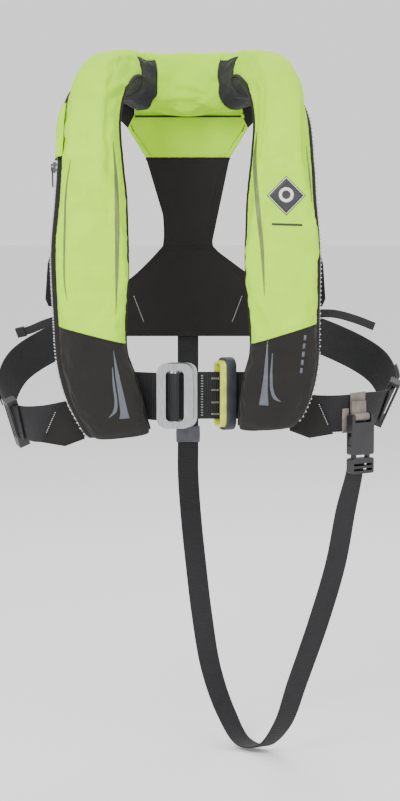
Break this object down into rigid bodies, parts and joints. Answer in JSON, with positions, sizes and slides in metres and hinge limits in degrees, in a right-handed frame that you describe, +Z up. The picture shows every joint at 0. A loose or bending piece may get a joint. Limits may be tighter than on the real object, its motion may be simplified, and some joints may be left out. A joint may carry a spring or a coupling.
{
  "type": "inflatable life jacket",
  "caption": "Inflatable life jacket in its packed state: folded horseshoe stole, zip, back yoke, harness belt with steel buckle, soft loop and hanging crotch strap with side-release buckle.",
  "frame": {"origin": "middle of the neck opening, at the height where the collar rests on the wearer's shoulders", "axes": "+Z up; the wearer faces -Y; +X is the wearer's left, where the side-release buckle is"},
  "size_m": [0.507, 0.2627, 0.8835],
  "materials": {
    "lime_cover": "fluorescent woven nylon",
    "black_cover": "matte woven nylon",
    "neoprene": "matte knit-faced foam",
    "bladder": "coated nylon",
    "zip": "matte",
    "webbing": "ribbed polyester webbing",
    "grey_webbing": "flat webbing",
    "lime_webbing": "flat webbing",
    "taupe_webbing": "flat webbing",
    "black_plastic": "moulded acetal",
    "steel": "brushed stainless",
    "cylinder": "satin",
    "red_plastic": "moulded",
    "orange_plastic": "moulded"
  },
  "bodies": {
    "jacket": {"back_belt": "webbing", "bladder": "bladder", "buckle_socket": "black_plastic", "buckle_tab_end": "taupe_webbing", "buckle_tab_loop": "taupe_webbing", "buckle_tab_patch": "taupe_webbing", "collar_cover": "lime_cover", "cover_left": "lime_cover", "cover_right": "lime_cover", "crotch_strap": "webbing", "end_panel_left": "black_cover", "end_panel_right": "black_cover", "front_belt_left": "webbing", "front_belt_right": "webbing", "gas_cylinder": "cylinder", "gusset_left": "black_cover", "gusset_right": "black_cover", "hip_adjuster_left": "black_plastic", "hip_adjuster_right": "black_plastic", "hip_belt_left": "webbing", "hip_belt_right": "webbing", "hip_tab_left": "grey_webbing", "hip_tab_right": "grey_webbing", "inflator_body": "black_plastic", "inflator_cap": "orange_plastic", "lining_left": "black_cover", "lining_right": "black_cover", "lower_cover_left": "black_cover", "lower_cover_right": "black_cover", "neck_pad_left": "neoprene", "neck_pad_right": "neoprene", "oral_tube": "black_plastic", "pull_tail_left": "webbing", "pull_tail_right": "webbing", "shoulder_panel_left": "lime_cover", "shoulder_panel_right": "lime_cover", "side_flap_left": "black_cover", "side_flap_right": "black_cover", "strap_sleeve": "grey_webbing", "whistle": "orange_plastic", "yoke_corner_left": "black_cover", "yoke_corner_right": "black_cover", "yoke_lower_panel": "black_cover", "yoke_upper_panel": "lime_cover", "yoke_waist_panel": "black_cover", "zip_chain": "zip", "zip_flap": "lime_cover", "zip_tape_cover_side": "zip", "zip_tape_lining_side": "zip"},
    "front_frame": {"front_frame": "steel"},
    "rear_frame": {"rear_frame": "steel"},
    "soft_loop": {"soft_loop_cover": "grey_webbing", "soft_loop_lining": "lime_webbing"},
    "zip_slider": {"zip_slider": "black_plastic"},
    "zip_pull": {"zip_pull": "black_plastic"},
    "buckle_plug": {"buckle_plug": "black_plastic"},
    "buckle_prong_left": {"buckle_prong_left": "black_plastic"},
    "buckle_prong_right": {"buckle_prong_right": "black_plastic"},
    "inflator_lever": {"inflator_lever": "red_plastic"},
    "valve_cap": {"oral_valve_cap": "red_plastic"}
  },
  "joints": [
    {"name": "front_frame_swing", "type": "hinge", "parent": "jacket", "child": "front_frame", "pos_m": [-0.0145, -0.128, -0.3425], "axis": [0, 0, 1], "range_deg": [0, 8]},
    {"name": "rear_frame_swing", "type": "hinge", "parent": "jacket", "child": "rear_frame", "pos_m": [-0.0095, -0.1115, -0.3425], "axis": [0, 0, 1], "range_deg": [-4, 0]},
    {"name": "soft_loop_slide", "type": "slide", "parent": "jacket", "child": "soft_loop", "axis": [1, 0, 0], "range_m": [-0.01, 0.004]},
    {"name": "zip_slide", "type": "slide", "parent": "jacket", "child": "zip_slider", "axis": [-0.0596, -0.1908, -0.9798], "range_m": [0, 0.012]},
    {"name": "zip_pull_swing", "type": "hinge", "parent": "zip_slider", "child": "zip_pull", "pos_m": [-0.16051, -0.10748, -0.07088], "axis": [0.0941, 0.9752, -0.2001], "range_deg": [0, 60]},
    {"name": "plug_slide", "type": "slide", "parent": "jacket", "child": "buckle_plug", "axis": [0, 0, -1], "range_m": [0, 0.034], "deforming": ["crotch_strap", "buckle_prong_left", "buckle_prong_right"]},
    {"name": "prong_left_flex", "type": "hinge", "parent": "buckle_plug", "child": "buckle_prong_left", "pos_m": [0.2191, -0.08698, -0.4225], "axis": [0.5736, -0.8192, 0], "range_deg": [0, 7], "stiffness_Nm_per_rad": 0.2},
    {"name": "prong_right_flex", "type": "hinge", "parent": "buckle_plug", "child": "buckle_prong_right", "pos_m": [0.2019, -0.09902, -0.4225], "axis": [-0.5736, 0.8192, 0], "range_deg": [0, 7], "stiffness_Nm_per_rad": 0.2},
    {"name": "inflator_lever_swing", "type": "hinge", "parent": "jacket", "child": "inflator_lever", "pos_m": [0.1339, -0.1376, -0.2768], "axis": [-1, 0, 0], "range_deg": [0, 12]},
    {"name": "valve_cap_slide", "type": "slide", "parent": "jacket", "child": "valve_cap", "axis": [0, 0, 1], "range_m": [0, 0.01]}
  ]
}
